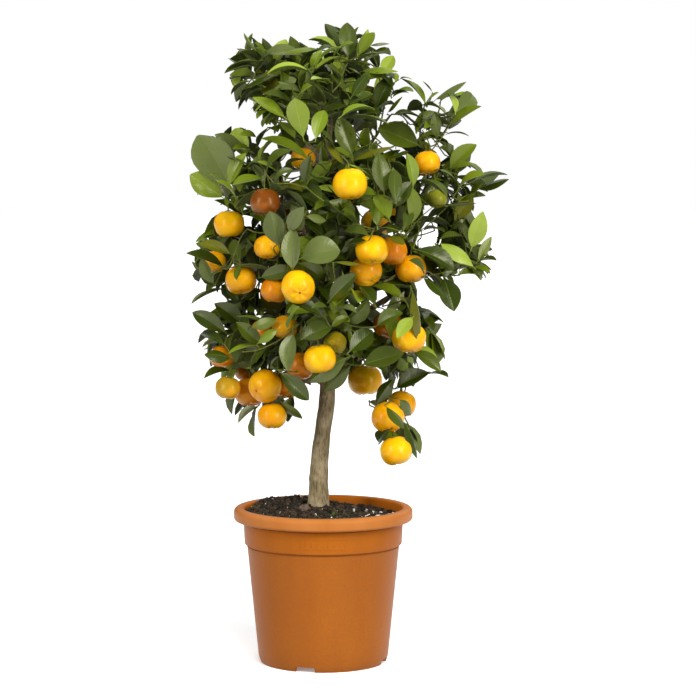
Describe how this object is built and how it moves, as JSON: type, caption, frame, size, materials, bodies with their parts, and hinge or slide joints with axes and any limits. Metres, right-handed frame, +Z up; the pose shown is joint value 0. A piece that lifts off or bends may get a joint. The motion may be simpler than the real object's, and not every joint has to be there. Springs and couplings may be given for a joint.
{
  "type": "potted calamondin tree",
  "caption": "Small citrus tree on one clean stem, with a leafy crown hung with little orange fruit, growing in a tapered terracotta-coloured plastic pot.",
  "frame": {"origin": "centre of the flat underside of the pot", "axes": "+Z up along the pot's axis; -Y towards the front of the tree, +X to its right as seen from the front"},
  "size_m": [0.3417, 0.3273, 0.7143],
  "materials": {
    "pot": "satin",
    "soil": "matte",
    "bark": "matte",
    "foliage": "satin",
    "fruit": "satin"
  },
  "bodies": {
    "root": {"pot": "pot", "soil": "soil", "trunk": "bark", "bough_top_left_tuft": "bark", "bough_upper_right": "bark", "bough_left_shoulder": "bark", "bough_right_shoulder": "bark", "bough_back_upper": "bark", "bough_left_middle": "bark", "bough_right_middle": "bark", "bough_front_centre": "bark", "bough_back_middle": "bark", "bough_left_lower": "bark", "bough_right_lower": "bark", "bough_back_lower": "bark", "bough_left_hanging": "bark", "top_crest": "foliage", "top_left_tuft": "foliage", "top_back": "foliage", "upper_front": "foliage", "upper_right": "foliage", "right_plume": "foliage", "left_shoulder": "foliage", "right_shoulder": "foliage", "front_left": "foliage", "front_right": "foliage", "back_upper": "foliage", "left_middle": "foliage", "right_middle": "foliage", "front_centre": "foliage", "right_inner": "foliage", "back_middle": "foliage", "left_lower": "foliage", "lower_front": "foliage", "right_lower": "foliage", "back_lower": "foliage", "left_hanging": "foliage", "right_hanging": "foliage"}
  },
  "joints": []
}
